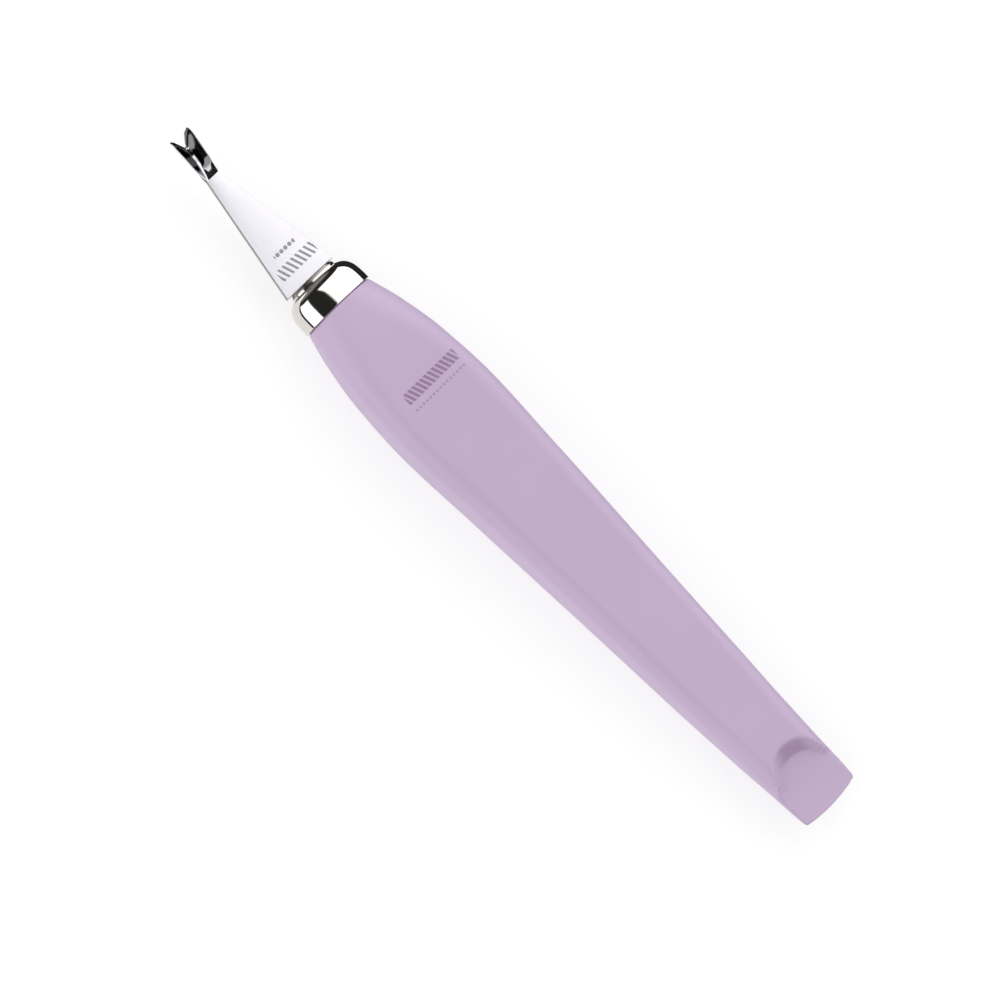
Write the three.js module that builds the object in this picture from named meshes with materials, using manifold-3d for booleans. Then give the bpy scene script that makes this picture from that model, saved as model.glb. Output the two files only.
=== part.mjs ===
// Cuticle trimmer: a forked steel blade, a bright ferrule, a moulded tang plug and a moulded handle
// that ends in a scooped cuticle pusher. Nothing on it moves.
//
// Millimetres, +Z up. The tool lies on the flat back of its handle. X runs along the tool from the
// fork to the pusher end, and Y = 0 is its plane of symmetry. The solids are drawn from the seam
// between ferrule and handle, at x = 0, and the whole tool is then centred over the origin.

import * as THREE from 'three';
import { LoftGeometry } from 'three/addons/geometries/LoftGeometry.js';
import { mergeVertices } from 'three/addons/utils/BufferGeometryUtils.js';
import Module from 'manifold-3d';

const wasm = await Module();
wasm.setup();

// Handle
const handleLength = 91.2;
const handleHalfWidth = 7.7;
const handleThickness = 8.2;
const endBow = 0.45; // how far the middle of the end edge stands ahead of its corners

// Pusher scoop: a round-nosed pocket with a leaning wall and a floor that falls to the end
const scoopRadius = 4.2;
const scoopApex = 83;
const scoopFloorStart = 4.45;
const scoopFloorEnd = 4.25;
const scoopWallRun = 1.35; // millimetres along X for each one up the wall
const scoopNoseAngle = THREE.MathUtils.degToRad(73); // either side of the apex, then it flares out

// Ferrule
const ferruleLength = 5.15;
const ferruleHalfWidth = 5.58;
const ferruleHalfHeight = 3.6;
const ferruleCentreZ = 3.9;
const ferruleWall = 0.6;

// Blade
const bladeReach = 30.1; // from the seam to the tips of the fork
const bladeThickness = 1.2;
const bladeCentreZ = 3.6;
const shankBaseHalfWidth = 4.15;
const shankTipHalfWidth = 1;
const headLength = 6.7;
const shankRise = THREE.MathUtils.degToRad(4);
const tangHalfWidth = 1.7;
const tangDepth = 10; // how far the tang reaches behind the seam
const notchDepth = 1.8;
const notchHalfWidth = 1.15; // at the tips

// Tang plug
const plugHalfWidth = 3.1;
const plugHalfHeight = 1.7;
const plugDepth = 14;

// Clearance between neighbouring pieces
const gap = 0.3;

const bladeBaseX = -ferruleLength - gap;
const headBaseX = headLength - bladeReach;

const materials = {
  steel: new THREE.MeshStandardMaterial({ color: 0xd8dadc, roughness: 0.22, metalness: 1 }),
  nickel: new THREE.MeshStandardMaterial({ color: 0xe6e2da, roughness: 0.06, metalness: 1 }),
  lavender: new THREE.MeshStandardMaterial({ color: 0xc2aec8, roughness: 0.5, metalness: 0 }),
  white: new THREE.MeshStandardMaterial({ color: 0xe4e2e0, roughness: 0.55, metalness: 0 }),
};

function toSolid(geometry) {
  const bare = new THREE.BufferGeometry();
  bare.setAttribute('position', geometry.getAttribute('position'));
  bare.setIndex(geometry.getIndex());
  const merged = mergeVertices(bare, 1e-5);
  const vertProperties = new Float32Array(merged.getAttribute('position').array);
  const triVerts = new Uint32Array(merged.getIndex().array);
  return new wasm.Manifold(new wasm.Mesh({ numProp: 3, vertProperties, triVerts }));
}

function toMesh(name, solid, material) {
  const { vertProperties, triVerts } = solid.getMesh();
  const geometry = new THREE.BufferGeometry();
  geometry.setAttribute('position', new THREE.BufferAttribute(vertProperties, 3));
  geometry.setIndex(new THREE.BufferAttribute(triVerts, 1));
  geometry.computeVertexNormals();
  const mesh = new THREE.Mesh(geometry, material);
  mesh.name = name;
  return mesh;
}

// A solid skinned over rings of points that run anticlockwise as seen from the far end.
function loft(rings) {
  return toSolid(new LoftGeometry(rings, { capStart: true, capEnd: true }));
}

// A ring across X: a rounded rectangle whose corners are quarter ellipses.
// A corner as large as the half width and half height makes the ring an ellipse.
// A bow pulls the sides of the ring back along X and leaves its middle where it is.
function roundedRing({ x, halfWidth, bottom, top, cornerY, cornerZ, bow = 0, steps = 6 }) {
  const ring = [];
  const addPoint = (y, z) => ring.push(new THREE.Vector3(x - bow * (y / halfWidth) ** 2, y, z));
  const corners = [[1, 1], [-1, 1], [-1, -1], [1, -1]];
  corners.forEach(([sideY, sideZ], quarter) => {
    const centreY = sideY * (halfWidth - cornerY);
    const centreZ = sideZ > 0 ? top - cornerZ : bottom + cornerZ;
    for (let i = 0; i <= steps; i += 1) {
      const angle = (quarter + i / steps) * Math.PI / 2;
      addPoint(centreY + cornerY * Math.cos(angle), centreZ + cornerZ * Math.sin(angle));
    }
    const isLevelSide = quarter % 2 === 0;
    if (isLevelSide) {
      [0.5, 0, -0.5].forEach((share) => addPoint(share * centreY, sideZ > 0 ? top : bottom));
    }
  });
  return ring;
}

// Rows of [x, halfWidth, bottom, top, cornerY, cornerZ, bow] joined by a smooth curve, which is
// kept between the table and the full thickness where it would swing past them.
function smoothRings(stations, stepsAlong) {
  const size = stations[0].length - 1;
  const places = stations.map((row) => row[0]);
  const values = stations.flatMap((row) => row.slice(1));
  const curve = new THREE.CubicInterpolant(places, values, size, new Float64Array(size));
  const rings = [];
  for (let i = 0; i <= stepsAlong; i += 1) {
    const x = THREE.MathUtils.lerp(places[0], places.at(-1), i / stepsAlong);
    const [halfWidth, low, high, cornerY, cornerZ, bow] = curve.evaluate(x);
    const bottom = Math.max(low, 0);
    const top = Math.min(high, handleThickness);
    rings.push(roundedRing({ x, halfWidth, bottom, top, cornerY, cornerZ, bow }));
  }
  return rings;
}

// A plate: an outline in the XY plane, thickened along Z.
function plate(outline, bottom, top) {
  const geometry = new THREE.ExtrudeGeometry(outline, { depth: top - bottom, bevelEnabled: false });
  geometry.translate(0, 0, bottom);
  return toSolid(geometry);
}

function polygon(points) {
  return new THREE.Shape(points.map(([x, y]) => new THREE.Vector2(x, y)));
}

function makeHandle() {
  const w = handleHalfWidth;
  const top = handleThickness;
  const rings = smoothRings([
    [0, 5.4, 0.35, 7.45, 4.9, 3.3, 0],
    [5, 6.5, 0.05, 7.85, 4.2, 2.8, 0],
    [11, w - 0.4, -0.1, 8.1, 3.1, 2.2, 0],
    [19.5, w, -0.1, top, 2.4, 1.9, 0],
    [32, 7.15, -0.1, 8.1, 2.2, 1.8, 0],
    [56, 6, -0.1, 7.2, 2, 1.7, 0],
    [68, 5.48, -0.1, 6.6, 1.9, 1.6, 0],
    [76, 5.18, 0.4, 6.2, 2, 1.7, 0],
    [84, 4.95, 1.6, 5.8, 2, 1.8, endBow * 0.2],
    [90.6, 4.72, 3.35, 5.5, 1.1, 0.95, endBow],
  ], 44);
  rings.push(roundedRing({
    x: handleLength, halfWidth: 4.5, bottom: 3.6, top: 5.3, cornerY: 0.8, cornerZ: 0.8, bow: endBow,
  }));
  return loft(rings).subtract(makeScoop()).subtract(makeSocket());
}

// The pocket of the pusher. Its round nose flares out through the sides of the handle, and its
// wall leans back towards the fork as it rises.
function makeScoop() {
  const nose = new THREE.Path();
  const centreX = scoopApex + scoopRadius;
  const fromAngle = Math.PI - scoopNoseAngle;
  nose.absarc(centreX, 0, scoopRadius, fromAngle, Math.PI + scoopNoseAngle, false);
  const rise = handleThickness;
  const fall = (scoopFloorStart - scoopFloorEnd) / (handleLength - scoopApex);
  const flareX = centreX - scoopRadius * Math.cos(scoopNoseAngle) + 0.6;
  const pastX = handleLength + 2 + rise * scoopWallRun;
  const pastY = handleHalfWidth + 1;
  const outline = nose.getPoints(28);
  [[flareX, -pastY], [pastX, -pastY], [pastX, pastY], [flareX, pastY]].forEach(([x, y]) => {
    outline.push(new THREE.Vector2(x, y));
  });
  const floor = ({ x, y }) => new THREE.Vector3(x, y, scoopFloorStart - fall * (x - scoopApex));
  const lower = outline.map(floor);
  const upper = lower.map((p) => new THREE.Vector3(p.x - rise * scoopWallRun, p.y, p.z + rise));
  return loft([lower, upper]);
}

function makeSocket() {
  const halfWidth = plugHalfWidth + gap;
  const halfHeight = plugHalfHeight + gap;
  const common = {
    halfWidth,
    bottom: bladeCentreZ - halfHeight,
    top: bladeCentreZ + halfHeight,
    cornerY: 0.8,
    cornerZ: 0.8,
    steps: 3,
  };
  return loft([
    roundedRing({ ...common, x: -1 }),
    roundedRing({ ...common, x: plugDepth + gap }),
  ]);
}

// Outline of the ferrule from its mouth to the seam: x from the mouth, and how much of the full
// half width and half height the ring has there. The first rows are the rolled lip.
const ferruleRows = [
  [0, 0.6, 0.55],
  [0.12, 0.625, 0.58],
  [0.45, 0.655, 0.61],
  [0.62, 0.645, 0.6],
  [0.75, 0.67, 0.62],
  [1, 0.76, 0.71],
  [1.35, 0.845, 0.795],
  [1.9, 0.925, 0.885],
  [2.6, 0.97, 0.95],
  [3.4, 0.995, 0.985],
  [ferruleLength - gap, 1, 1],
];

function ferruleRings(inset, fromX, toX) {
  const placed = ferruleRows.map(([along, wide, high]) => [along - ferruleLength, wide, high]);
  const between = placed.filter(([x]) => x > fromX && x < toX);
  const before = placed.filter(([x]) => x <= fromX).at(-1) ?? placed[0];
  const first = [fromX, ...before.slice(1)];
  const last = [toX, ...placed.at(-1).slice(1)];
  return [first, ...between, last].map(([x, wide, high]) => {
    const halfWidth = ferruleHalfWidth * wide - inset;
    const halfHeight = ferruleHalfHeight * high - inset;
    return roundedRing({
      x,
      halfWidth,
      bottom: ferruleCentreZ - halfHeight,
      top: ferruleCentreZ + halfHeight,
      cornerY: halfWidth * 0.92,
      cornerZ: halfHeight * 0.95,
      steps: 8,
    });
  });
}

function makeFerrule() {
  const outer = loft(ferruleRings(0, -ferruleLength, -gap));
  const hollow = loft(ferruleRings(ferruleWall, -ferruleLength - 1, 1));
  return outer.subtract(hollow);
}

// The plug fills the ferrule behind its lip, and its shank goes into the socket of the handle.
function makeTangPlug() {
  const head = loft(ferruleRings(ferruleWall + gap, 1.05 - ferruleLength, -gap));
  const common = {
    halfWidth: plugHalfWidth,
    bottom: bladeCentreZ - plugHalfHeight,
    top: bladeCentreZ + plugHalfHeight,
    cornerY: 0.6,
    cornerZ: 0.6,
    steps: 3,
  };
  const shank = loft([
    roundedRing({ ...common, x: -2 }),
    roundedRing({ ...common, x: plugDepth }),
  ]);
  const slotHalfWidth = tangHalfWidth + gap;
  const slotHalfHeight = bladeThickness / 2 + gap;
  const slot = plate(
    polygon([
      [-ferruleLength - 2, -slotHalfWidth],
      [tangDepth + gap, -slotHalfWidth],
      [tangDepth + gap, slotHalfWidth],
      [-ferruleLength - 2, slotHalfWidth],
    ]),
    bladeCentreZ - slotHalfHeight,
    bladeCentreZ + slotHalfHeight,
  );
  return head.add(shank).subtract(slot);
}

// Height of the middle of the blade at x: level in the plug and rising along the shank.
function bladeMiddle(x) {
  return bladeCentreZ + Math.max(0, bladeBaseX - x) * Math.tan(shankRise);
}

// The flat of the blade, bent up where it leaves the ferrule, cut to its outline in plan.
function makeFlat() {
  const half = bladeThickness / 2;
  const endX = headBaseX - 0.3;
  const sideShape = new THREE.Shape([
    new THREE.Vector2(tangDepth, bladeCentreZ - half),
    new THREE.Vector2(tangDepth, bladeCentreZ + half),
    new THREE.Vector2(bladeBaseX, bladeCentreZ + half),
    new THREE.Vector2(endX, bladeMiddle(endX) + half),
    new THREE.Vector2(endX, bladeMiddle(endX) - half),
    new THREE.Vector2(bladeBaseX, bladeCentreZ - half),
  ]);
  const width = 2 * shankBaseHalfWidth + 2;
  const sheet = new THREE.ExtrudeGeometry(sideShape, { depth: width, bevelEnabled: false });
  sheet.rotateX(Math.PI / 2);
  sheet.translate(0, width / 2, 0);
  const outline = polygon([
    [tangDepth, -tangHalfWidth],
    [tangDepth, tangHalfWidth],
    [bladeBaseX, tangHalfWidth],
    [bladeBaseX, shankBaseHalfWidth],
    [headBaseX, shankTipHalfWidth],
    [endX, shankTipHalfWidth],
    [endX, -shankTipHalfWidth],
    [headBaseX, -shankTipHalfWidth],
    [bladeBaseX, -shankBaseHalfWidth],
    [bladeBaseX, -tangHalfWidth],
  ]);
  return toSolid(sheet).intersect(plate(outline, -5, 15));
}

// The gutter head: a V of sheet with its wings up, made as an outer wedge less an inner one.
// along is the distance from the root of the head; low and high are above the back of its root.
function gutterRing(along, halfBottom, halfTop, low, high) {
  const x = headBaseX - along;
  const base = bladeMiddle(headBaseX) - bladeThickness / 2;
  return [
    new THREE.Vector3(x, halfBottom, base + low),
    new THREE.Vector3(x, halfTop, base + high),
    new THREE.Vector3(x, -halfTop, base + high),
    new THREE.Vector3(x, -halfBottom, base + low),
  ];
}

function makeHead() {
  const wing = 0.26; // thickness of a wing, measured across the tool
  const rows = [ // along, half width of the back and of the wings, back, wing top, gutter, floor
    [-0.2, 1.02, 1.03, 0, 1.19, 0.7, 1.2],
    [0.15, 1.03, 1.06, -0.02, 1.22, 0.58, 0.85],
    [0.6, 1.02, 1.14, -0.05, 1.3, 0.42, 0.68],
    [1.35, 0.92, 1.27, -0.05, 1.52, 0.3, 0.8],
    [2.2, 0.72, 1.38, 0.15, 1.95, 0.24, 1.05],
    [3.2, 0.58, 1.47, 0.5, 2.42, 0.2, 1.36],
    [4.2, 0.52, 1.55, 0.8, 2.87, 0.2, 1.62],
    [5.2, 0.5, 1.64, 0.95, 3.3, 0.2, 1.75],
    [6.1, 0.5, 1.7, 1, 3.6, 0.2, 1.85],
    [headLength, 0.55, 1.55, 1.05, 3.3, 0.2, 1.9],
  ];
  const outer = rows.map(([along, halfBack, halfTop, back, top]) => (
    gutterRing(along, halfBack, halfTop, back, top)
  ));
  const overshoot = 0.5; // the inner wedge stands out of the wings and past the tips
  const inner = rows.slice(1).map(([along, , halfTop, , top, gutter, floor], i) => {
    const halfInside = halfTop - wing;
    const flare = (halfInside - gutter) * overshoot / (top - floor);
    const isTip = i === rows.length - 2;
    const place = along + (isTip ? overshoot : 0);
    return gutterRing(place, gutter, halfInside + flare, floor, top + overshoot);
  });
  const past = 1;
  const mouth = notchHalfWidth * (notchDepth + past) / notchDepth;
  const notch = plate(
    polygon([
      [-bladeReach - past, -mouth],
      [-bladeReach + notchDepth, 0],
      [-bladeReach - past, mouth],
    ]),
    0,
    15,
  );
  return { outer: loft(outer.reverse()), cut: loft(inner.reverse()).add(notch) };
}

function makeBlade() {
  const head = makeHead();
  return makeFlat().add(head.outer).subtract(head.cut);
}

const tool = new THREE.Group();
tool.add(
  toMesh('handle', makeHandle(), materials.lavender),
  toMesh('ferrule', makeFerrule(), materials.nickel),
  toMesh('tang_plug', makeTangPlug(), materials.white),
  toMesh('blade', makeBlade(), materials.steel),
);
tool.position.x = (bladeReach - handleLength) / 2;

const cuticleTrimmer = new THREE.Group();
cuticleTrimmer.add(tool);

export default cuticleTrimmer;
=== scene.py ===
"""Cuticle trimmer.

A forked steel blade, a mirror-bright ferrule and a satin lavender handle with a scooped pusher.
"""

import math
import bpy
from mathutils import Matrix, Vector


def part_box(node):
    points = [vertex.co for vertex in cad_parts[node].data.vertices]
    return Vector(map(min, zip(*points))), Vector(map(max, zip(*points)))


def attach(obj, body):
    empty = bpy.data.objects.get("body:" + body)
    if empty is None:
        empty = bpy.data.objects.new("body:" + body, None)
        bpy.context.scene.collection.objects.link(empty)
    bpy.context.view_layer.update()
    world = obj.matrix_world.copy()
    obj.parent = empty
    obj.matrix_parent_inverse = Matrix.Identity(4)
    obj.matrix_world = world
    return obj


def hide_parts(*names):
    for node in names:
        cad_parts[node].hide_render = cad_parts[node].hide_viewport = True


bl_info = {
    "name": "Cuticle Trimmer",
    "version": (1, 0, 0),
    "blender": (4, 5, 0),
    "location": "3D View > Sidebar > Trimmer",
    "description": "Builds a cuticle trimmer's handle, ferrule, tang plug and blade, with a studio",
    "category": "Add Mesh",
}

import bmesh
import bpy
import numpy as np
from bpy.props import FloatProperty, FloatVectorProperty, PointerProperty
from bpy.types import Operator, Panel, PropertyGroup
from mathutils import Matrix, Vector

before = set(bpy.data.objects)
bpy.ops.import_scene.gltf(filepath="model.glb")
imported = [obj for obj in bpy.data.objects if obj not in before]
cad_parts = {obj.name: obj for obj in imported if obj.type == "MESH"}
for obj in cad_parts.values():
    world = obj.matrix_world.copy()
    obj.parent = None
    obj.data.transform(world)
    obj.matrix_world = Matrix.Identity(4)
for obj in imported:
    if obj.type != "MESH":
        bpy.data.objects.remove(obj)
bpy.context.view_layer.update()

MM = 0.001
SEAM_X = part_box("handle")[0].x  # where the ferrule meets the handle
SHARP_ANGLE = math.radians(40)  # edges sharper than this aren't smoothed over

# Sections of the handle, in millimetres: distance from the seam, half width, bottom, top,
# size of the corners across and up, and how far the sides of the section trail its middle.
HANDLE_ROWS = (
    (0, 5.4, 0.35, 7.45, 4.9, 3.3, 0),
    (5, 6.5, 0.05, 7.85, 4.2, 2.8, 0),
    (11, 7.3, 0, 8.1, 3.1, 2.2, 0),
    (19.5, 7.7, 0, 8.2, 2.5, 1.9, 0),
    (32, 7.15, 0, 8.1, 2.4, 1.8, 0),
    (56, 6, 0, 7.2, 2.1, 1.7, 0),
    (68, 5.48, 0, 6.6, 1.9, 1.6, 0),
    (76, 5.18, 0.4, 6.2, 2.1, 1.8, 0),
    (84, 4.95, 1.6, 5.8, 2.1, 1.9, 0.09),
    (90.6, 4.72, 3.35, 5.5, 1.1, 0.95, 0.45),
    (91.2, 4.55, 3.6, 5.3, 0.8, 0.7, 0.45),
)

# Scoop of the pusher, in millimetres from the seam and from the table.
SCOOP_FROM = 74  # sections further on than this are cut
SCOOP_FLOOR = 4.45  # height of the floor at the nose of the scoop
SCOOP_FALL = 0.024  # fall of the floor for each millimetre towards the end
SCOOP_WALL_RUN = 1.35  # how far the wall leans back for each millimetre of height
SCOOP_NOSE_TURN = math.radians(73)  # how far round the rim is an arc before it runs straight
SCOOP_FLARE = 0.12  # how far the straight part of the rim trails for each millimetre across
SCOOP_ANCHOR = 0.9  # share of a corner within which points aren't drawn in sideways
SCOOP_HALVINGS = 30  # steps of the search for the scooped surface

# Rounding of the handle's two end edges and spacing of its sections, in millimetres.
FRONT_EDGE = 0.35
END_EDGE = 0.14
EDGE_SECTIONS = 5
BODY_FROM = 0.8
BODY_STEP = 1.1
SCOOP_STEP = 0.15
SCOOP_END_GAP = 0.3
CORNER_STEPS = 10
FLAT_STEPS = 48

# Profile of the ferrule, in millimetres from its mouth: share of the full half width and half
# height. It starts inside the mouth, rolls round the lip, dips into a groove and swells.
FERRULE_ROWS = (
    (0.6, 0.535, 0.475),
    (0.3, 0.545, 0.485),
    (0.1, 0.56, 0.505),
    (0.02, 0.578, 0.525),
    (0, 0.592, 0.542),
    (0.03, 0.606, 0.558),
    (0.1, 0.617, 0.57),
    (0.25, 0.634, 0.588),
    (0.4, 0.65, 0.604),
    (0.47, 0.6545, 0.609),
    (0.53, 0.654, 0.608),
    (0.59, 0.646, 0.6),
    (0.63, 0.643, 0.597),
    (0.68, 0.648, 0.604),
    (0.76, 0.68, 0.635),
    (0.95, 0.755, 0.705),
    (1.2, 0.824, 0.772),
    (1.5, 0.877, 0.832),
    (1.95, 0.932, 0.895),
    (2.5, 0.969, 0.946),
    (3.2, 0.991, 0.978),
    (4.0, 0.999, 0.996),
    (4.85, 1, 1),
    (5.06, 0.998, 0.997),
    (5.12, 0.985, 0.98),
)

# Inside of the ferrule behind its mouth, as above but before the wall is taken off.
FERRULE_INSIDE = (
    (5.12, 1, 1),
    (3.2, 0.99, 0.978),
    (1.95, 0.93, 0.89),
    (1.2, 0.81, 0.76),
)
FERRULE_WALL = 0.45
FERRULE_FULLNESS = 2 / 2.45  # 1 makes a true ellipse, less a fuller one
FERRULE_AROUND = 120
FERRULE_SMOOTHING = 3  # points made for each one given along the profile

# Flat of the blade, in millimetres.
BLADE_UNDERSIDE = 3.0  # height of its back at the ferrule
BLADE_GAP = 0.08  # how far its base stands clear of the ferrule
SHANK_NARROW = 1.0  # half its width at the root of the head
SHANK_SECTIONS = 16
SHANK_CROWN = 0.012  # how far the middle of the flat stands above its edges
SHANK_TOP_SHARE = 0.86  # share of the width that the line of points on top covers
SHANK_FIRST_RISE = 0.75  # share of the full slope at the base
BLADE_SIDE = 10  # points in each of the two lines of a section, underneath and on top

# Head of the blade, in millimetres from its root: half width of the back, half width of the
# wings, height of the back, top of the wings, half width of the gutter, height of its floor, and
# how far the gutter lies off the middle.
HEAD_ROWS = (
    (0.0, 1.02, 1.03, 0.0, 1.2, 0.12, 0.735, -0.72),
    (0.3, 1.03, 1.09, -0.03, 1.25, 0.12, 0.77, -0.66),
    (0.7, 1.02, 1.16, -0.06, 1.3, 0.12, 0.81, -0.5),
    (1.2, 0.95, 1.24, -0.05, 1.42, 0.13, 0.83, -0.36),
    (1.8, 0.82, 1.33, 0.03, 1.7, 0.16, 0.82, -0.18),
    (2.4, 0.68, 1.4, 0.2, 2.02, 0.18, 0.79, -0.05),
    (3.2, 0.58, 1.47, 0.5, 2.42, 0.2, 1.1, 0.0),
    (4.2, 0.52, 1.55, 0.8, 2.87, 0.2, 1.45, 0.0),
    (5.2, 0.5, 1.64, 0.95, 3.3, 0.2, 1.77, 0.0),
    (6.1, 0.5, 1.7, 1.0, 3.6, 0.2, 2.0, 0.0),
    (6.7, 0.55, 1.55, 1.05, 3.3, 0.2, 1.88, 0.0),
)
WING_THICKNESS = 0.12
WALL_SHARES = (0, 0.35, 0.72)  # places of the points down each inner wall
BACK_EDGE = (0.14, 0.12)  # across and up: slope between the back and the outside of a wing
HEAD_FIRST = 0.06  # distance of the first section from the root
HEAD_STEP = 0.22
HEAD_LAST_GAP = 0.1
NOTCH_HALF_WIDTH = 1.15
NOTCH_FROM = 3  # the notch draws in the sections this close to the tips


# --- Sizes and colours a user may change -------------------------------------------------------


class TrimmerSizes(PropertyGroup):
    """Sizes of the trimmer, in the frame's own millimetres and degrees."""

    corner_fullness: FloatProperty(
        name="Corner fullness",
        description="Shape of the handle's long corners: 2 is round, less is closer to a chamfer",
        default=2,
        min=1.2,
        max=3,
    )
    scoop_radius: FloatProperty(
        name="Scoop radius",
        description="Radius of the round nose of the pusher's scoop",
        default=4.2 * MM,
        unit="LENGTH",
        precision=4,
    )
    scoop_apex: FloatProperty(
        name="Scoop apex",
        description="Distance of the scoop's nose from the seam",
        default=83 * MM,
        unit="LENGTH",
        precision=4,
    )
    scoop_rim: FloatProperty(
        name="Scoop rim rounding",
        description="How softly the rim and the foot of the scoop are rounded",
        default=0.2 * MM,
        unit="LENGTH",
        precision=4,
    )
    lip_width: FloatProperty(
        name="Ferrule half width",
        description="Half the width of the ferrule at the seam",
        default=(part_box("ferrule")[1].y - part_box("ferrule")[0].y) / 2,
        unit="LENGTH",
        precision=4,
    )
    lip_height: FloatProperty(
        name="Ferrule half height",
        description="Half the height of the ferrule at the seam",
        default=(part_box("ferrule")[1].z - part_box("ferrule")[0].z) / 2,
        unit="LENGTH",
        precision=4,
    )
    blade_thickness: FloatProperty(
        name="Blade thickness",
        description="Thickness of the flat of the blade",
        default=1.2 * MM,
        unit="LENGTH",
        precision=4,
    )
    blade_base: FloatProperty(
        name="Blade base half width",
        description="Half the width of the blade where it leaves the ferrule",
        default=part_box("blade")[1].y,
        unit="LENGTH",
        precision=4,
    )
    blade_rise: FloatProperty(
        name="Blade rise",
        description="How steeply the flat of the blade rises from the ferrule",
        default=math.radians(4),
        unit="ROTATION",
    )
    notch_depth: FloatProperty(
        name="Notch depth",
        description="Depth of the cutting notch between the tips of the fork",
        default=1.8 * MM,
        unit="LENGTH",
        precision=4,
    )


class TrimmerColours(PropertyGroup):
    """Colours of the trimmer's finishes."""

    lavender: FloatVectorProperty(
        name="Lavender",
        description="Plastic of the handle",
        default=(0.485, 0.372, 0.53),
        subtype="COLOR",
        min=0,
        max=1,
    )
    ink: FloatVectorProperty(
        name="Ink",
        description="Printed marks on the handle",
        default=(0.27, 0.16, 0.3),
        subtype="COLOR",
        min=0,
        max=1,
    )
    nickel: FloatVectorProperty(
        name="Nickel",
        description="Plating of the ferrule",
        default=(0.84, 0.81, 0.765),
        subtype="COLOR",
        min=0,
        max=1,
    )
    steel: FloatVectorProperty(
        name="Steel",
        description="Steel of the blade",
        default=(0.775, 0.755, 0.81),
        subtype="COLOR",
        min=0,
        max=1,
    )
    plug: FloatVectorProperty(
        name="Plug",
        description="Plastic of the plug that holds the tang",
        default=(0.62, 0.6, 0.58),
        subtype="COLOR",
        min=0,
        max=1,
    )
    table: FloatVectorProperty(
        name="Table",
        description="Pale table that the trimmer lies on",
        default=(0.35, 0.35, 0.35),
        subtype="COLOR",
        min=0,
        max=1,
    )


# --- Shapes ------------------------------------------------------------------------------------


def smooth_rows(rows, places):
    """The rows' columns at the given places, on a curve that never swings past a row."""
    table = np.array(rows, float)
    along, values = table[:, 0], table[:, 1:]
    step = np.diff(along)[:, None]
    slope = np.diff(values, axis=0) / step
    before, after = slope[:-1], slope[1:]
    weight_before = 2 * step[1:] + step[:-1]
    weight_after = step[1:] + 2 * step[:-1]
    same_way = before * after > 0
    safe_before = np.where(same_way, before, 1)
    safe_after = np.where(same_way, after, 1)
    weights = weight_before + weight_after
    mean = weights / (weight_before / safe_before + weight_after / safe_after)
    tangent = np.vstack([slope[:1], np.where(same_way, mean, 0), slope[-1:]])
    places = np.asarray(places, float)
    i = np.clip(np.searchsorted(along, places, side="right") - 1, 0, len(along) - 2)
    h = (along[i + 1] - along[i])[:, None]
    t = ((places - along[i]) / h[:, 0])[:, None]
    start = (1 + 2 * t) * (1 - t) ** 2 * values[i] + t * (1 - t) ** 2 * h * tangent[i]
    end = t**2 * (3 - 2 * t) * values[i + 1] + t**2 * (t - 1) * h * tangent[i + 1]
    return start + end


def soft_max(a, b, reach):
    """The larger of a and b, rounded where they are closer than reach."""
    near = np.maximum(reach - np.abs(a - b), 0) / reach
    return np.maximum(a, b) + near**2 * reach / 4


def add_piece(name, points, faces, material, nodes):
    """Makes a smooth shaded mesh piece that rides on the tool and stands for CAD nodes."""
    mesh = bpy.data.meshes.new(name)
    mesh.from_pydata([tuple(p) for p in points], [], faces)
    mesh.validate()
    mesh.shade_smooth()
    mesh.set_sharp_from_angle(angle=SHARP_ANGLE)
    mesh.materials.append(material)
    piece = bpy.data.objects.new(name, mesh)
    bpy.context.scene.collection.objects.link(piece)
    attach(piece, "root")
    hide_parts(*nodes)
    return piece


def ring_bands(ring_count, ring_size, first=0):
    """Quads between rings of points that follow one another."""
    faces = []
    for r in range(ring_count - 1):
        a = first + r * ring_size
        b = a + ring_size
        for i in range(ring_size):
            j = (i + 1) % ring_size
            faces.append((a + i, a + j, b + j, b + i))
    return faces


def handle_ring(half_width, bottom, top, corner_y, corner_z, fullness):
    """A rounded box across the handle: points right to left over the top, then back underneath."""
    power = 2 / fullness
    turn = np.linspace(0, math.pi / 2, CORNER_STEPS + 1)
    out_y = np.cos(turn).clip(0) ** power * corner_y
    out_z = np.sin(turn).clip(0) ** power * corner_z
    flat = half_width - corner_y
    right_y, right_z = flat + out_y, out_z
    inner = np.linspace(flat, -flat, FLAT_STEPS + 1)[1:-1]
    y = np.concatenate([right_y, inner, -right_y[::-1]])
    lift = np.concatenate([right_z, np.full(len(inner), corner_z), right_z[::-1]])
    y_all = np.concatenate([y, y[::-1]])
    z_all = np.concatenate([top - corner_z + lift, bottom + corner_z - lift[::-1]])
    return y_all, z_all


def scoop_height(x, y, sizes):
    """Height of the scoop's surface: a floor that falls to the end and a wall leaning back."""
    radius, apex, soft = (v / MM for v in (sizes.scoop_radius, sizes.scoop_apex, sizes.scoop_rim))
    flare_from = radius * math.sin(SCOOP_NOSE_TURN)
    side = np.minimum(np.abs(y), flare_from)
    nose = apex + radius - np.sqrt(radius**2 - side**2)
    nose = nose + SCOOP_FLARE * np.maximum(np.abs(y) - flare_from, 0)
    floor = SCOOP_FLOOR - SCOOP_FALL * (x - apex)
    return floor + soft_max((nose - x) / SCOOP_WALL_RUN, np.zeros_like(x), soft)


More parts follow.
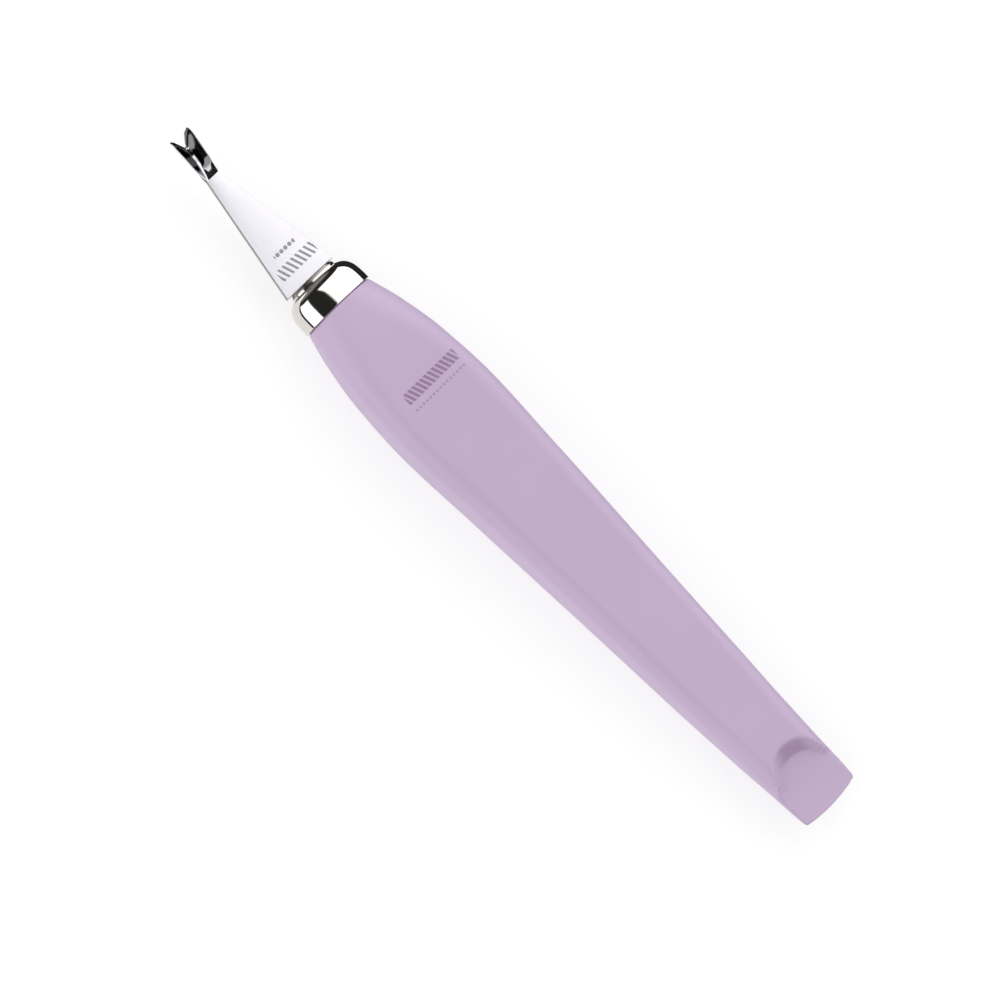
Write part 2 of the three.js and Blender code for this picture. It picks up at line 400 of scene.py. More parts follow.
def section_depth(y, z, half_width, bottom, top, corner_y, corner_z, fullness):
    """How far a point is outside the handle's section; below zero inside it."""
    a = np.maximum(np.abs(y) - (half_width - corner_y), 0) / corner_y
    b = np.maximum(np.maximum(z - (top - corner_z), (bottom + corner_z) - z), 0) / corner_z
    radius = (a**fullness + b**fullness) ** (1 / fullness)
    scale = (corner_y * a**2 + corner_z * b**2) / np.maximum(a**2 + b**2, 1e-9)
    flat = np.maximum(np.abs(y) - half_width, np.maximum(z - top, bottom - z))
    return np.where((a > 0) & (b > 0), (radius - 1) * scale, flat)


def cut_scoop(x, y, z, row, inset, sizes):
    """Draws the ring's points in towards its middle until they lie on the scooped surface."""
    half_width, bottom, top, corner_y, corner_z = row
    soft = sizes.scoop_rim / MM
    lean = SCOOP_WALL_RUN / math.hypot(1, SCOOP_WALL_RUN)
    middle_top = np.minimum(top, scoop_height(x, np.zeros_like(y), sizes) - inset)
    anchor_z = (bottom + middle_top) / 2
    anchor_limit = half_width - SCOOP_ANCHOR * corner_y
    anchor_y = np.clip(y, -anchor_limit, anchor_limit)

    def outside(share):
        py = anchor_y + share * (y - anchor_y)
        pz = anchor_z + share * (z - anchor_z)
        over = (pz - scoop_height(x, py, sizes) + inset) * lean
        depth = section_depth(py, pz, *row, sizes.corner_fullness)
        return soft_max(depth, over, soft)

    low, high = np.zeros_like(y), np.ones_like(y)
    for _ in range(SCOOP_HALVINGS):
        mid = (low + high) / 2
        inside = outside(mid) < 0
        low = np.where(inside, mid, low)
        high = np.where(inside, high, mid)
    return anchor_y + high * (y - anchor_y), anchor_z + high * (z - anchor_z)


def handle_points(sizes):
    """Rings of the handle from its rounded front edge to the edge of the pusher."""
    end = HANDLE_ROWS[-1][0]
    turns = np.linspace(0, math.pi / 2, EDGE_SECTIONS)
    stations = [(FRONT_EDGE * (1 - math.cos(a)), FRONT_EDGE * (1 - math.sin(a))) for a in turns]
    stations += [(x, 0) for x in np.arange(BODY_FROM, SCOOP_FROM, BODY_STEP)]
    stations += [(x, 0) for x in np.arange(SCOOP_FROM, end - SCOOP_END_GAP, SCOOP_STEP)]
    for a in turns[::-1]:
        stations.append((end - END_EDGE * (1 - math.cos(a)), END_EDGE * (1 - math.sin(a))))
    rows = smooth_rows(HANDLE_ROWS, [x for x, _ in stations])
    rings = []
    for (x, inset), (half_width, bottom, top, corner_y, corner_z, bow) in zip(stations, rows):
        row = (half_width - inset, bottom + inset, top - inset, corner_y - inset, corner_z - inset)
        y, z = handle_ring(*row, sizes.corner_fullness)
        xs = x - bow * (y / half_width) ** 2
        if x > SCOOP_FROM:
            y, z = cut_scoop(xs, y, z, row, inset, sizes)
        rings.append(np.column_stack([xs, y, z]))
    return rings


def handle_faces(ring_count):
    """Bands between the rings, and a strip of quads over each end."""
    size = 4 * (CORNER_STEPS + 1) + 2 * (FLAT_STEPS - 1)
    half = size // 2
    faces = ring_bands(ring_count, size)
    last = (ring_count - 1) * size
    for i in range(half - 1):
        upper, lower = (i, i + 1), (size - 2 - i, size - 1 - i)
        faces.append((upper[1], upper[0], lower[1], lower[0]))
        faces.append((last + upper[0], last + upper[1], last + lower[0], last + lower[1]))
    return faces


def to_frame(points):
    """Millimetres from the seam turned into metres in the frame."""
    return np.asarray(points, float) * MM + np.array([SEAM_X, 0, 0])


def ferrule_points(sizes):
    """Rings of the ferrule: ellipses a little fuller than true ones, outside and then inside."""
    around = np.arange(FERRULE_AROUND) / FERRULE_AROUND * 2 * math.pi
    unit_y = np.sign(np.cos(around)) * np.abs(np.cos(around)) ** FERRULE_FULLNESS
    unit_z = np.sign(np.sin(around)) * np.abs(np.sin(around)) ** FERRULE_FULLNESS
    lo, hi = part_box("ferrule")
    middle = (lo.z + hi.z) / 2 / MM
    mouth = (lo.x - SEAM_X) / MM
    wide, high = sizes.lip_width / MM, sizes.lip_height / MM
    profile = [(along, wide * w, high * h) for along, w, h in FERRULE_ROWS]
    profile = smooth_profile(profile, FERRULE_SMOOTHING)
    for along, w, h in FERRULE_INSIDE:
        profile.append((along, wide * w - FERRULE_WALL, high * h - FERRULE_WALL))
    rings = []
    for along, half_width, half_height in profile:
        x = np.full(len(around), mouth + along)
        rings.append(np.column_stack([x, half_width * unit_y, middle + half_height * unit_z]))
    return rings


def smooth_profile(profile, steps):
    """More points along a profile, on a smooth curve through the given ones."""
    points = np.array(profile, float)
    padded = np.vstack([2 * points[0] - points[1], points, 2 * points[-1] - points[-2]])
    made = []
    for i in range(len(points) - 1):
        p0, p1, p2, p3 = padded[i : i + 4]
        for k in range(steps):
            t = k / steps
            m1, m2 = (p2 - p0) / 2, (p3 - p1) / 2
            made.append(
                (2 * t**3 - 3 * t**2 + 1) * p1
                + (t**3 - 2 * t**2 + t) * m1
                + (3 * t**2 - 2 * t**3) * p2
                + (t**3 - t**2) * m2
            )
    made.append(points[-1])
    return [tuple(p) for p in made]


def shank_section(half_width, thickness):
    """Section of the flat: side, back and side in one line, and the top face in the other."""
    w, t = half_width, thickness
    back = [(-w, t), (-w, t / 2), (-w, 0), (-0.6 * w, 0), (-0.2 * w, 0)]
    back += [(-y, z) for y, z in reversed(back)]
    shares = np.linspace(-SHANK_TOP_SHARE, SHANK_TOP_SHARE, BLADE_SIDE)
    top = [(share * w, t + SHANK_CROWN * (1 - share**2)) for share in shares]
    return back, top


def head_section(half_back, half_top, low, high, gutter, floor, aside):
    """Section of the head: the outside of the folded sheet, and its gutter and inner walls."""
    inner = half_top - WING_THICKNESS
    edge_y, edge_z = BACK_EDGE
    back = [
        (-half_top, high),
        (-(half_top + half_back) / 2 - 0.02, low + (high - low) * 0.5),
        (-half_back, low + edge_z),
        (-half_back + edge_y, low),
        (-half_back / 3, low),
    ]
    back += [(-y, z) for y, z in reversed(back)]

    def wall(start, foot):
        return [
            (start + (foot - start) * share, high + (floor - high) * share)
            for share in WALL_SHARES
        ]

    left, right = max(aside - gutter, -inner), aside + gutter
    top = wall(-inner, left) + [(left, floor), (left + gutter * 2 / 3, floor)]
    top += [(right - gutter * 2 / 3, floor), (right, floor)] + wall(inner, right)[::-1]
    return back, top


def blade_points(sizes):
    """Sections of the blade from its base in the ferrule's mouth to the tips of the fork."""
    tip = (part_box("blade")[0].x - SEAM_X) / MM
    base = (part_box("ferrule")[0].x - SEAM_X) / MM - BLADE_GAP
    head = HEAD_ROWS[-1][0]
    root = tip + head
    thickness = sizes.blade_thickness / MM
    wide = sizes.blade_base / MM
    slope = math.tan(sizes.blade_rise)
    notch = sizes.notch_depth / MM
    sections = []
    for share in np.linspace(0, 1, SHANK_SECTIONS):
        x = base + (root - base) * share
        half_width = wide + (SHANK_NARROW - wide) * share
        steepness = SHANK_FIRST_RISE + (1 - SHANK_FIRST_RISE) * share
        rise = BLADE_UNDERSIDE + (base - x) * slope * steepness
        lines = shank_section(half_width, thickness)
        sections.append(tuple([(x, y, z + rise) for y, z in line] for line in lines))
    root_rise = BLADE_UNDERSIDE + (base - root) * slope
    turn = head - NOTCH_FROM
    places = np.concatenate([np.arange(HEAD_FIRST, head - HEAD_LAST_GAP, HEAD_STEP), [head]])
    for along, row in zip(places, smooth_rows(HEAD_ROWS, places)):
        lines = []
        for line in head_section(*row):
            placed = []
            for y, z in line:
                reach = head - notch * max(0, 1 - abs(y) / NOTCH_HALF_WIDTH)
                a = along
                if along >= turn:
                    a = turn + (along - turn) * (reach - turn) / (head - turn)
                placed.append((root - a, y, z + root_rise))
            lines.append(placed)
        sections.append(tuple(lines))
    return sections


# --- Finishes ----------------------------------------------------------------------------------


NOISE_ROUGHNESS = 0.55
MARK_SOFT = 0.03  # softness of the outline of printed and etched marks, in millimetres


def shade(colour, *factors):
    """The colour made lighter or darker, by one factor or by one for each channel."""
    if len(factors) == 1:
        factors = factors * 3
    return tuple(min(1, c * k) for c, k in zip(colour, factors))


class Nodes:
    """Short calls that add nodes to a tree and join them."""

    def __init__(self, tree):
        self.tree = tree

    def add(self, kind, **settings):
        node = self.tree.nodes.new(kind)
        for key, value in settings.items():
            setattr(node, key, value)
        return node

    def link(self, value, socket):
        """Joins a socket to another, or sets it if the value is a plain one."""
        if isinstance(value, bpy.types.NodeSocket):
            self.tree.links.new(value, socket)
        else:
            socket.default_value = value

    def math(self, operation, *values):
        node = self.add("ShaderNodeMath", operation=operation)
        for value, socket in zip(values, node.inputs):
            self.link(value, socket)
        return node.outputs[0]

    def span(self, value, low, high, to_low=0.0, to_high=1.0):
        """The value stretched from one span to another, held at its ends."""
        node = self.add("ShaderNodeMapRange")
        for v, socket in zip((value, low, high, to_low, to_high), node.inputs):
            self.link(v, socket)
        return node.outputs[0]

    def within(self, value, low, high, soft):
        """1 between low and high and 0 outside, with soft edges."""
        rise = self.span(value, low - soft, low + soft)
        fall = self.span(value, high - soft, high + soft, 1.0, 0.0)
        return self.math("MULTIPLY", rise, fall)

    def axes(self, vector):
        """The three parts of a vector."""
        split = self.add("ShaderNodeSeparateXYZ")
        self.link(vector, split.inputs[0])
        return split.outputs


class Finish(Nodes):
    """A node material for a metal or plastic surface."""

    def __init__(self, name):
        self.material = bpy.data.materials.new(name)
        self.material.use_nodes = True
        super().__init__(self.material.node_tree)
        self.shader = self.tree.nodes["Principled BSDF"]
        self.place = self.add("ShaderNodeTexCoord").outputs["Object"]
        self.x, self.y, self.z = self.axes(self.place)

    def noise(self, size, stretch=(1, 1, 1), detail=3):
        """Noise of a grain size in millimetres, stretched along each axis."""
        mapping = self.add("ShaderNodeMapping")
        self.link(self.place, mapping.inputs["Vector"])
        mapping.inputs["Scale"].default_value = [1 / (size * MM * s) for s in stretch]
        noise = self.add("ShaderNodeTexNoise")
        self.link(mapping.outputs[0], noise.inputs["Vector"])
        noise.inputs["Scale"].default_value = 1
        noise.inputs["Detail"].default_value = detail
        noise.inputs["Roughness"].default_value = NOISE_ROUGHNESS
        return noise.outputs["Fac"]

    def facing(self):
        """The three parts of the surface's normal."""
        return self.axes(self.add("ShaderNodeNewGeometry").outputs["Normal"])

    def blend(self, share, first, second):
        node = self.add("ShaderNodeMix", data_type="RGBA")
        self.link(share, node.inputs["Factor"])
        colours = [s for s in node.inputs if s.type == "RGBA"]
        for value, socket in zip((first, second), colours):
            self.link((*value, 1) if isinstance(value, tuple) else value, socket)
        return next(s for s in node.outputs if s.type == "RGBA")

    def edge_wear(self, low=0.52, high=0.62):
        """1 along outward edges."""
        return self.span(self.add("ShaderNodeNewGeometry").outputs["Pointiness"], low, high)

    def bumps(self, *layers):
        """Bumps of given height in millimetres, laid over one another."""
        normal = None
        for height, value in layers:
            bump = self.add("ShaderNodeBump")
            bump.inputs["Strength"].default_value = 1
            bump.inputs["Distance"].default_value = height * MM
            self.link(value, bump.inputs["Height"])
            if normal is not None:
                self.link(normal, bump.inputs["Normal"])
            normal = bump.outputs[0]
        self.link(normal, self.shader.inputs["Normal"])

    def stripes(self, value, pitch, share, soft):
        """1 on the given share of each pitch, in millimetres."""
        turns = self.math("FRACT", self.math("DIVIDE", value, pitch * MM))
        return self.within(turns, 0.5 - share / 2, 0.5 + share / 2, soft)

    def mark_band(self, x_range, y_range, pitch, share, slant):
        """A band of slanted ticks, in millimetres from the seam and from the middle."""
        low, high = (SEAM_X + v * MM for v in x_range)
        across = self.within(self.x, low, high, MARK_SOFT * MM)
        along = self.within(self.y, y_range[0] * MM, y_range[1] * MM, MARK_SOFT * MM)
        leaning = self.math("MULTIPLY_ADD", self.x, slant, self.y)
        ticks = self.stripes(leaning, pitch, share, 0.05)
        return self.math("MULTIPLY", self.math("MULTIPLY", across, along), ticks)

    def mark_dots(self, x, y_range, pitch, radius):
        """A row of dots, in millimetres from the seam and from the middle."""
        turns = self.math("FRACT", self.math("DIVIDE", self.y, pitch * MM))
        dy = self.math("MULTIPLY", self.math("SUBTRACT", turns, 0.5), pitch * MM)
        dx = self.math("SUBTRACT", self.x, SEAM_X + x * MM)
        square = self.math("ADD", self.math("MULTIPLY", dx, dx), self.math("MULTIPLY", dy, dy))
        away = self.math("SQRT", square)
        dot = self.span(away, radius * MM * 0.8, radius * MM * 1.2, 1.0, 0.0)
        along = self.within(self.y, y_range[0] * MM, y_range[1] * MM, MARK_SOFT * MM)
        return self.math("MULTIPLY", dot, along)


def satin_lavender_plastic(colours):
    """Moulded plastic with a fine spark-eroded grain, faint rub marks, printed ticks, and painted
    shade and light on the scoop's wall.
    """
    f = Finish("satin_lavender_plastic")
    base = tuple(colours.lavender)
    cloud = f.span(f.noise(14, detail=2), 0.3, 0.7)
    speckle = f.span(f.noise(0.22, detail=2), 0.35, 0.65)
    tone = f.blend(cloud, shade(base, 0.975), shade(base, 1.02))
    tone = f.blend(f.math("MULTIPLY", speckle, 0.25), tone, shade(base, 0.93))
    front, end = (v.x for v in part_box("handle"))
    wear = f.math(
        "MAXIMUM",
        f.span(f.x, front, front + 0.4 * MM, 1.0, 0.0),
        f.span(f.x, end - 0.9 * MM, end - 0.3 * MM),
    )
    wear = f.math("MULTIPLY", wear, f.span(f.noise(0.8, detail=4), 0.35, 0.6))
    tone = f.blend(f.math("MULTIPLY", wear, 0.25), tone, shade(base, 1.15))
    # Painted shade and light on the scoop's wall, where it faces the pusher's end: darker and more
    # purple in its middle, painted lighter towards its tips.
    scoop_wall = f.math(
        "MULTIPLY",
        f.span(f.facing()[0], 0.2, 0.55),
        f.span(f.x, end - 2 * MM, end - 3 * MM),
    )
    painted_shade_middle = f.math(
        "MULTIPLY",
        f.span(f.y, -2.4 * MM, -0.3 * MM),
        f.span(f.y, 2.2 * MM, 4.2 * MM, 1.0, 0.0),
    )
    painted_wall_shade = f.blend(painted_shade_middle, shade(base, 1.14), shade(base, 0.88, 0.8, 0.87))
    tone = f.blend(scoop_wall, tone, painted_wall_shade)
    marks = f.math(
        "MAXIMUM",
        f.mark_band((14.3, 15.9), (-3.6, 5.7), 0.72, 0.66, -0.35),
        f.math("MULTIPLY", f.mark_dots(16.95, (-3.6, 5.7), 0.62, 0.19), 0.6),
    )
    on_face = f.math("GREATER_THAN", f.z, 5 * MM)
    marks = f.math("MULTIPLY", marks, on_face)
    inked = f.math("MULTIPLY", marks, f.span(f.noise(0.35), 0.25, 0.5, 0.85, 1.0))
    f.link(f.blend(inked, tone, tuple(colours.ink)), f.shader.inputs["Base Color"])
    rub = f.span(f.noise(0.5, stretch=(30, 1, 1), detail=4), 0.55, 0.75)
    rough = f.span(f.noise(5, detail=3), 0.3, 0.7, 0.4, 0.47)
    rough = f.math("SUBTRACT", rough, f.math("MULTIPLY", wear, 0.07))
    rough = f.math("ADD", rough, f.math("MULTIPLY", rub, 0.04))
    rough = f.math("SUBTRACT", rough, f.math("MULTIPLY", marks, 0.08))
    f.link(rough, f.shader.inputs["Roughness"])
    f.bumps((0.004, f.noise(0.16, detail=2)), (0.003, rub), (0.006, marks))
    return f.material


def mirror_nickel(colours):
    """Bright plating with faint polishing lines, finger haze, slightly worn edges and painted shade
    on the rolled lip.
    """
    f = Finish("mirror_nickel")
    base = tuple(colours.nickel)
    f.shader.inputs["Metallic"].default_value = 1
    haze = f.span(f.noise(2.2, detail=4), 0.45, 0.75)
    lines = f.noise(0.05, stretch=(1, 30, 30), detail=2)
    wear = f.edge_wear(0.53, 0.6)
    tone = f.blend(f.math("MULTIPLY", haze, 0.5), base, shade(base, 0.95))
    tone = f.blend(f.math("MULTIPLY", wear, 0.3), tone, (0.88, 0.86, 0.84))
    # Painted shade: the rolled lip is coloured much darker, standing in for the blade's shade and
    # dark reflection on it; it is also made rougher.
    lip_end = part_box("ferrule")[0].x + 0.55 * MM
    lip_painted_shade = f.span(f.x, lip_end - 0.1 * MM, lip_end, 1.0, 0.0)
    f.link(f.blend(lip_painted_shade, tone, shade(base, 0.35)), f.shader.inputs["Base Color"])
    rough = f.math("ADD", f.span(lines, 0.3, 0.7, 0.045, 0.07), f.math("MULTIPLY", haze, 0.035))
    rough = f.math("ADD", rough, f.math("MULTIPLY", lip_painted_shade, 0.2))
    f.link(rough, f.shader.inputs["Roughness"])
    f.bumps((0.0002, lines), (0.004, f.noise(3.5, detail=1)))
    return f.material


def ground_blade_steel(colours):
    """Stamped steel with a lengthwise grain, etched ticks, dull sheared edges and a painted dark
    reflection on the head's walls.
    """
    f = Finish("ground_blade_steel")
    base = tuple(colours.steel)
    f.shader.inputs["Metallic"].default_value = 1
    grain = f.noise(0.035, stretch=(60, 1, 4), detail=3)
    cloud = f.span(f.noise(2.5, detail=3), 0.3, 0.7)
    etched = f.math(
        "MAXIMUM",
        f.mark_band((-8.84, -7.15), (-3.0, 3.4), 0.78, 0.42, -0.35),
        f.mark_dots(-10.3, (-1.7, 1.95), 0.73, 0.28),
    )
    on_top = f.math("GREATER_THAN", f.z, 3.95 * MM)
    etched = f.math("MULTIPLY", etched, on_top)
    facing_up = f.facing()[2]
    sheared = f.span(f.math("ABSOLUTE", facing_up), 0.1, 0.4, 1.0, 0.0)
    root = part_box("blade")[0].x + HEAD_ROWS[-1][0] * MM
    head = f.span(f.x, root - 0.08 * MM, root, 1.0, 0.0)
    # Painted reflection: the head's faces that don't face straight up, its inner walls most of all,
    # are coloured nearly black, standing in for the dark room they would reflect.
    head_walls_painted_dark = f.math("MULTIPLY", head, f.span(facing_up, 0.86, 0.97, 1.0, 0.0))
    tone = f.blend(cloud, shade(base, 0.97), base)
    lines = f.math("MULTIPLY", f.span(grain, 0.4, 0.7), 0.35)
    tone = f.blend(lines, tone, shade(base, 0.9))
    tone = f.blend(f.math("MULTIPLY", sheared, 0.9), tone, (0.3, 0.3, 0.3))
    tone = f.blend(f.math("MULTIPLY", head_walls_painted_dark, 0.9), tone, (0.11, 0.115, 0.115))
    tone = f.blend(f.math("MULTIPLY", etched, 0.9), tone, (0.27, 0.27, 0.29))
    f.link(tone, f.shader.inputs["Base Color"])
    rough = f.span(grain, 0.3, 0.7, 0.15, 0.22)
    rough = f.math("ADD", rough, f.math("MULTIPLY", cloud, 0.03))
    rough = f.math("MULTIPLY", rough, f.span(head, 0.0, 1.0, 1.0, 0.4))
    rough = f.math("ADD", rough, f.math("MULTIPLY", sheared, 0.2))
    rough = f.math("ADD", rough, f.math("MULTIPLY", etched, 0.3))
    f.link(rough, f.shader.inputs["Roughness"])
    f.bumps((0.0006, grain), (-0.006, etched))
    return f.material


def white_plug_plastic(colours):
    """Natural moulded plastic with a light grain."""
    f = Finish("white_plug_plastic")
    base = tuple(colours.plug)
    cloud = f.span(f.noise(1.5, detail=3), 0.3, 0.7)
    tone = f.blend(cloud, shade(base, 0.93), base)
    tone = f.blend(f.math("MULTIPLY", f.edge_wear(), 0.2), tone, shade(base, 1.1))
    f.link(tone, f.shader.inputs["Base Color"])
    f.link(f.span(f.noise(0.4), 0.3, 0.7, 0.45, 0.6), f.shader.inputs["Roughness"])
    f.bumps((0.01, f.noise(0.2)))
    return f.material


def pale_table(colours):
    """Pale lit table top with a barely seen mottle."""
    f = Finish("pale_table")
    base = tuple(colours.table)
    mottle = f.span(f.noise(40, detail=3), 0.3, 0.7)
    f.link(f.blend(mottle, shade(base, 0.985), base), f.shader.inputs["Base Color"])
    f.link(f.span(f.noise(8), 0.3, 0.7, 0.6, 0.7), f.shader.inputs["Roughness"])
    f.shader.inputs["Specular IOR Level"].default_value = 0.1
    f.shader.inputs["Emission Color"].default_value = (1, 1, 1, 1)
    f.shader.inputs["Emission Strength"].default_value = TABLE_GLOW
    f.bumps((0.02, f.noise(3)))
    return f.material


# --- Stage -------------------------------------------------------------------------------------

TABLE_GLOW = 0.66
TABLE_HALF_SIZE = 3  # metres
TABLE_DROP = 0.02  # how far the table lies under the tool, in millimetres

# The studio as reflections see it: zones of the world, from and to an angle about the tool's
# axis (0 is straight up, 90 is level on the far side, in degrees) and a reach along the axis.
NEAR_BOX = (-77, -25.5, -0.78, 0.75)
FAR_BOX = (12, 81, -0.76, 0.75)
NEAR_TABLE = (-180, -90, -1.1, 1.1)
FAR_TABLE = (158, 180, -1.1, 1.1)
NEAR_BOX_GLOW = 1.5
FAR_BOX_FADE = (12, 34, 1.3, 2.1)  # from and to an angle, and the glow at each
NEAR_TABLE_GLOW = 0.85
FAR_TABLE_GLOW = 0.8
FRONT_GLOW = 0.2
ROOM_GLOW = 0.02
ZONE_SOFT = (1, 0.02)  # softness of the zones, in degrees and along the axis

# The studio as matt surfaces see it: its glow above and at the sides, and how it varies
# from the blade's end to the handle's and from the near side to the far side.
DOME_SIDES = (0.9, 0.53, 1.7)
DOME_ALONG = (1.55, 0.45)
DOME_ACROSS = (0.92, 1.08)

# Camera: degrees, and millimetres.
CAMERA_TILT = 15
CAMERA_SPIN = 45.17
CAMERA_TARGET = (2.1, -2.83, 3.64)
CAMERA_VIEW_WIDTH = 130
CAMERA_LENS = 135
CAMERA_SENSOR = 36


# --- Operators ---------------------------------------------------------------------------------


class TRIMMER_OT_handle(Operator):
    """Makes the moulded handle with its pusher scoop"""

    bl_idname = "trimmer.make_handle"
    bl_label = "Make Handle"

    def execute(self, context):
        sizes, colours = context.scene.trimmer_sizes, context.scene.trimmer_colours
        rings = handle_points(sizes)
        add_piece(
            "handle_body",
            to_frame(np.vstack(rings)),
            handle_faces(len(rings)),
            satin_lavender_plastic(colours),
            ["handle"],
        )
        return {"FINISHED"}


class TRIMMER_OT_ferrule(Operator):
    """Makes the bright ferrule with its rolled lip"""

    bl_idname = "trimmer.make_ferrule"
    bl_label = "Make Ferrule"

    def execute(self, context):
        sizes, colours = context.scene.trimmer_sizes, context.scene.trimmer_colours
        rings = ferrule_points(sizes)
        count, size = len(rings), len(rings[0])
        faces = ring_bands(count, size)
        last = (count - 1) * size
        for i in range(size):
            j = (i + 1) % size
            faces.append((last + i, last + j, j, i))
        add_piece(
            "ferrule_shell",
            to_frame(np.vstack(rings)),
            faces,
            mirror_nickel(colours),
            ["ferrule"],
        )
        return {"FINISHED"}


class TRIMMER_OT_plug(Operator):
    """Gives the tang plug its moulded finish"""

    bl_idname = "trimmer.finish_plug"
    bl_label = "Finish Tang Plug"

    def execute(self, context):
        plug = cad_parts["tang_plug"]
        plug.data.materials.clear()
        plug.data.materials.append(white_plug_plastic(context.scene.trimmer_colours))
        return {"FINISHED"}


class TRIMMER_OT_blade(Operator):
    """Makes the forked blade"""

    bl_idname = "trimmer.make_blade"
    bl_label = "Make Blade"

    def execute(self, context):
        sizes, colours = context.scene.trimmer_sizes, context.scene.trimmer_colours
        points, faces = [], []
        for back, top in blade_points(sizes):
            points += back + list(reversed(top))
        size = 2 * BLADE_SIDE
        count = len(points) // size
        faces = [tuple(reversed(f)) for f in ring_bands(count, size)]
        last = (count - 1) * size
        for i in range(BLADE_SIDE - 1):
            a, b = (i, i + 1), (size - 2 - i, size - 1 - i)
            faces.append((a[0], a[1], b[0], b[1]))
            faces.append((last + a[1], last + a[0], last + b[1], last + b[0]))
        blade = add_piece(
            "blade_steel",
            to_frame(points),
            faces,
            ground_blade_steel(colours),
            ["blade"],
        )
        bevel = blade.modifiers.new("rounded_edges", "BEVEL")
        bevel.width = 0.06 * MM
        bevel.segments = 2
        bevel.limit_method = "ANGLE"
        bevel.angle_limit = math.radians(30)
        return {"FINISHED"}


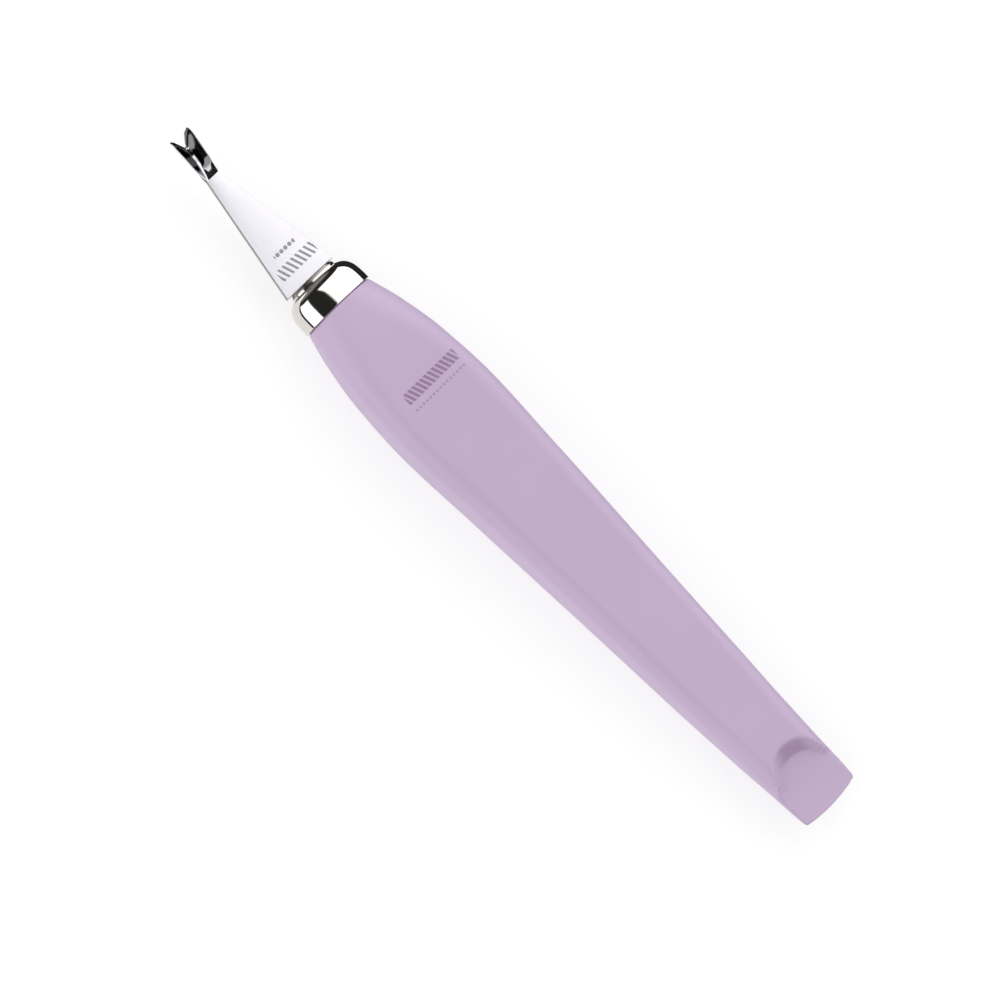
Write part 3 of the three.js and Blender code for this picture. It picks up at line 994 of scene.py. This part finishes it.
class TRIMMER_OT_stage(Operator):
    """Sets the pale table, the studio light and the camera"""

    bl_idname = "trimmer.set_stage"
    bl_label = "Set Stage"

    def execute(self, context):
        scene = context.scene
        self.lay_table(scene)
        self.light_studio(scene)
        self.place_camera(scene)
        scene.view_settings.view_transform = "Standard"
        return {"FINISHED"}

    def lay_table(self, scene):
        mesh = bpy.data.meshes.new("table_top")
        bm = bmesh.new()
        bmesh.ops.create_grid(bm, x_segments=8, y_segments=8, size=TABLE_HALF_SIZE)
        bm.to_mesh(mesh)
        bm.free()
        mesh.materials.append(pale_table(scene.trimmer_colours))
        table = bpy.data.objects.new("table_top", mesh)
        table.location.z = -TABLE_DROP * MM
        table.visible_glossy = False
        scene.collection.objects.link(table)

    def light_studio(self, scene):
        """Two long soft boxes over a dark room, as zones of the world."""
        world = bpy.data.worlds.new("soft_box_studio")
        world.use_nodes = True
        world.cycles.sampling_method = "NONE"
        scene.world = world
        f = Nodes(world.node_tree)
        background = f.tree.nodes["Background"]
        x, y, z = f.axes(f.add("ShaderNodeTexCoord").outputs["Generated"])
        lean = f.math("ARCTAN2", y, z)

        def zone(limits, glow):
            low, high, x_low, x_high = limits
            soft, x_soft = ZONE_SOFT
            angles = (math.radians(v) for v in (low, high, soft))
            inside = f.math("MULTIPLY", f.within(lean, *angles), f.within(x, x_low, x_high, x_soft))
            return f.math("MULTIPLY", inside, glow)

        def swap(first, second, share):
            return f.math("ADD", first, f.math("MULTIPLY", share, f.math("SUBTRACT", second, first)))

        fade_from, fade_to, low_glow, high_glow = FAR_BOX_FADE
        far_glow = f.span(lean, math.radians(fade_from), math.radians(fade_to), low_glow, high_glow)
        boxes = f.math("ADD", zone(NEAR_BOX, NEAR_BOX_GLOW), zone(FAR_BOX, far_glow))
        tables = f.math("ADD", zone(NEAR_TABLE, NEAR_TABLE_GLOW), zone(FAR_TABLE, FAR_TABLE_GLOW))
        front = f.span(x, -0.95, -0.9, FRONT_GLOW, 0.0)
        shine = f.math("ADD", f.math("ADD", boxes, tables), f.math("ADD", front, ROOM_GLOW))
        side_from, overhead, beside = DOME_SIDES
        dome = f.span(f.math("ABSOLUTE", y), 0.0, side_from, overhead, beside)
        dome = f.math("MULTIPLY", dome, f.span(x, -1.0, 1.0, *DOME_ALONG))
        dome = f.math("MULTIPLY", dome, f.span(y, -1.0, 1.0, *DOME_ACROSS))
        path = f.add("ShaderNodeLightPath")
        strength = swap(shine, dome, path.outputs["Is Diffuse Ray"])
        strength = swap(strength, 1.0, path.outputs["Is Camera Ray"])
        background.inputs["Color"].default_value = (1, 1, 1, 1)
        f.link(strength, background.inputs["Strength"])

    def place_camera(self, scene):
        """Looks down on the tool at a slight tilt, turned so that the tool lies aslant."""
        camera = bpy.data.cameras.new("camera")
        camera.lens = CAMERA_LENS
        camera.sensor_width = CAMERA_SENSOR
        view = bpy.data.objects.new("camera", camera)
        scene.collection.objects.link(view)
        tilt = math.radians(CAMERA_TILT)
        along = Vector((1, 0, 0))
        across = Vector((0, math.cos(tilt), math.sin(tilt)))
        back = along.cross(across)
        spin = math.radians(CAMERA_SPIN)
        right = along * math.cos(spin) + across * math.sin(spin)
        up = back.cross(right)
        target = Vector(CAMERA_TARGET) * MM
        distance = CAMERA_VIEW_WIDTH * MM * camera.lens / camera.sensor_width
        turn = Matrix((right, up, back)).transposed().to_4x4()
        view.matrix_world = Matrix.Translation(target + back * distance) @ turn
        camera.clip_start = 0.01
        camera.clip_end = 20
        scene.camera = view


class TRIMMER_PT_panel(Panel):
    """Lists the makers of the trimmer's pieces"""

    bl_label = "Cuticle Trimmer"
    bl_idname = "TRIMMER_PT_panel"
    bl_space_type = "VIEW_3D"
    bl_region_type = "UI"
    bl_category = "Trimmer"

    def draw(self, context):
        layout = self.layout
        for group in (context.scene.trimmer_sizes, context.scene.trimmer_colours):
            box = layout.box()
            for key in group.__annotations__:
                box.prop(group, key)
        for operator in MAKERS:
            layout.operator(operator.bl_idname)


MAKERS = (
    TRIMMER_OT_handle,
    TRIMMER_OT_ferrule,
    TRIMMER_OT_plug,
    TRIMMER_OT_blade,
    TRIMMER_OT_stage,
)
CLASSES = (TrimmerSizes, TrimmerColours, *MAKERS, TRIMMER_PT_panel)


def register():
    for cls in CLASSES:
        bpy.utils.register_class(cls)
    bpy.types.Scene.trimmer_sizes = PointerProperty(type=TrimmerSizes)
    bpy.types.Scene.trimmer_colours = PointerProperty(type=TrimmerColours)


def unregister():
    del bpy.types.Scene.trimmer_colours
    del bpy.types.Scene.trimmer_sizes
    for cls in reversed(CLASSES):
        bpy.utils.unregister_class(cls)


def main():
    register()
    bpy.ops.trimmer.make_handle()
    bpy.ops.trimmer.make_ferrule()
    bpy.ops.trimmer.finish_plug()
    bpy.ops.trimmer.make_blade()
    bpy.ops.trimmer.set_stage()


if __name__ == "__main__":
    main()
